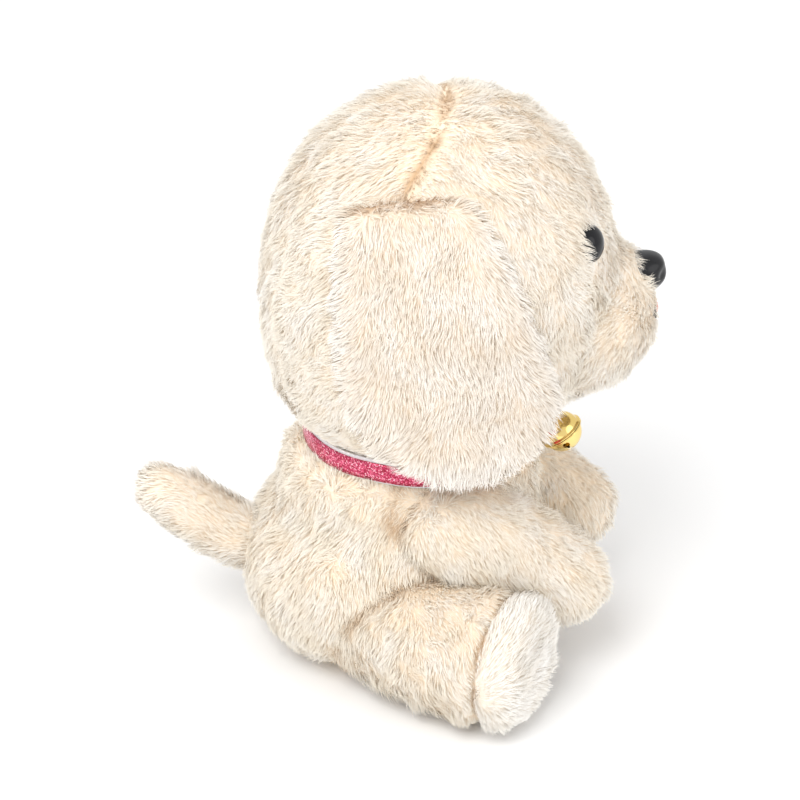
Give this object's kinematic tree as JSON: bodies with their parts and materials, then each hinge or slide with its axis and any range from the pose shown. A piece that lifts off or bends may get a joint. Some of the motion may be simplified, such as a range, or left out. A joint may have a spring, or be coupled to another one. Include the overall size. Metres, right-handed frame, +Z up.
{
  "type": "plush dog",
  "caption": "Sitting plush puppy with drop ears, safety eyes and nose, a glitter ribbon collar and a small jingle bell; head, ears, legs and tail move.",
  "frame": {"origin": "on the flat seat, on the mid plane, below the neck", "axes": "+Z up, the puppy faces -Y, its right side is -X"},
  "size_m": [0.1482, 0.1706, 0.1944],
  "materials": {
    "plush": "long soft pile, matte",
    "ear_plush": "long soft pile, matte, a little cooler than the body",
    "ear_lining": "short pile, matte",
    "sole_plush": "short pale pile, matte",
    "stuffing": "loose polyester fibre, matte",
    "black_plastic": "polished",
    "washer_plastic": "moulded, hidden inside",
    "thread": "matte embroidery thread",
    "tongue_felt": "matte felt",
    "ribbon_backing": "smooth white ribbon",
    "glitter_ribbon": "glittered, sparkling",
    "bell_brass": "polished, yellow gold"
  },
  "bodies": {
    "torso": {"seat_panel": "plush", "belly_panel": "plush", "torso_panel_right": "plush", "torso_panel_left": "plush", "torso_stuffing": "stuffing", "collar_backing": "ribbon_backing", "collar_ribbon": "glitter_ribbon"},
    "head": {"face_panel_right": "plush", "muzzle_panel_right": "plush", "back_head_panel_right": "plush", "eye_right": "black_plastic", "eye_washer_right": "washer_plastic", "face_panel_left": "plush", "muzzle_panel_left": "plush", "back_head_panel_left": "plush", "eye_left": "black_plastic", "eye_washer_left": "washer_plastic", "head_stuffing": "stuffing", "nose": "black_plastic", "nose_washer": "washer_plastic", "mouth_thread": "thread", "tongue": "tongue_felt"},
    "ear_right": {"ear_outer_right": "ear_plush", "ear_lining_right": "ear_lining"},
    "ear_left": {"ear_outer_left": "ear_plush", "ear_lining_left": "ear_lining"},
    "foreleg_right": {"foreleg_right_outer_panel": "plush", "foreleg_right_inner_panel": "plush", "foreleg_right_stuffing": "stuffing"},
    "foreleg_left": {"foreleg_left_outer_panel": "plush", "foreleg_left_inner_panel": "plush", "foreleg_left_stuffing": "stuffing"},
    "hindleg_right": {"hindleg_right_outer_panel": "plush", "hindleg_right_inner_panel": "plush", "hindleg_right_sole": "sole_plush", "hindleg_right_stuffing": "stuffing"},
    "hindleg_left": {"hindleg_left_outer_panel": "plush", "hindleg_left_inner_panel": "plush", "hindleg_left_sole": "sole_plush", "hindleg_left_stuffing": "stuffing"},
    "tail": {"tail_panel_right": "plush", "tail_panel_left": "plush", "tail_stuffing": "stuffing"},
    "hanger": {"bell_hanger": "bell_brass"},
    "bell": {"bell_upper_shell": "bell_brass", "bell_lower_shell": "bell_brass"},
    "clapper": {"bell_clapper": "bell_brass"}
  },
  "joints": [
    {"name": "head_turn", "type": "hinge", "parent": "torso", "child": "head", "pos_m": [0, 0.003, 0.0815], "axis": [0, 0, 1], "range_deg": [-25, 25], "stiffness_Nm_per_rad": 0.15},
    {"name": "ear_right_flap", "type": "hinge", "parent": "head", "child": "ear_right", "pos_m": [-0.0398, 0.004, 0.1754], "axis": [0, 1, 0], "range_deg": [0, 80]},
    {"name": "ear_left_flap", "type": "hinge", "parent": "head", "child": "ear_left", "pos_m": [0.0398, 0.004, 0.1754], "axis": [0, -1, 0], "range_deg": [0, 80]},
    {"name": "tail_wag", "type": "hinge", "parent": "torso", "child": "tail", "pos_m": [0, 0.05, 0.033], "axis": [0, 0, 1], "range_deg": [-30, 30], "stiffness_Nm_per_rad": 0.03},
    {"name": "foreleg_right_lift", "type": "hinge", "parent": "torso", "child": "foreleg_right", "pos_m": [-0.0315, -0.004, 0.0625], "axis": [-1, 0, 0], "range_deg": [0, 26], "stiffness_Nm_per_rad": 0.1},
    {"name": "foreleg_left_lift", "type": "hinge", "parent": "torso", "child": "foreleg_left", "pos_m": [0.0315, -0.004, 0.0625], "axis": [-1, 0, 0], "range_deg": [0, 26], "stiffness_Nm_per_rad": 0.1},
    {"name": "hindleg_right_splay", "type": "hinge", "parent": "torso", "child": "hindleg_right", "pos_m": [-0.01, 0.024, 0.022], "axis": [0, 0, -1], "range_deg": [0, 12], "stiffness_Nm_per_rad": 0.2},
    {"name": "hindleg_left_splay", "type": "hinge", "parent": "torso", "child": "hindleg_left", "pos_m": [0.01, 0.024, 0.022], "axis": [0, 0, 1], "range_deg": [0, 12], "stiffness_Nm_per_rad": 0.2},
    {"name": "bell_sway", "type": "hinge", "parent": "torso", "child": "hanger", "pos_m": [0, -0.0368, 0.0838], "axis": [0, 1, 0], "range_deg": [-25, 25]},
    {"name": "bell_lift", "type": "hinge", "parent": "hanger", "child": "bell", "pos_m": [0, -0.0388, 0.0838], "axis": [-1, 0, 0], "range_deg": [0, 45]},
    {"name": "clapper_roll", "type": "hinge", "parent": "bell", "child": "clapper", "pos_m": [0, -0.04368, 0.07696], "axis": [1, 0, 0], "range_deg": [-40, 40]}
  ]
}
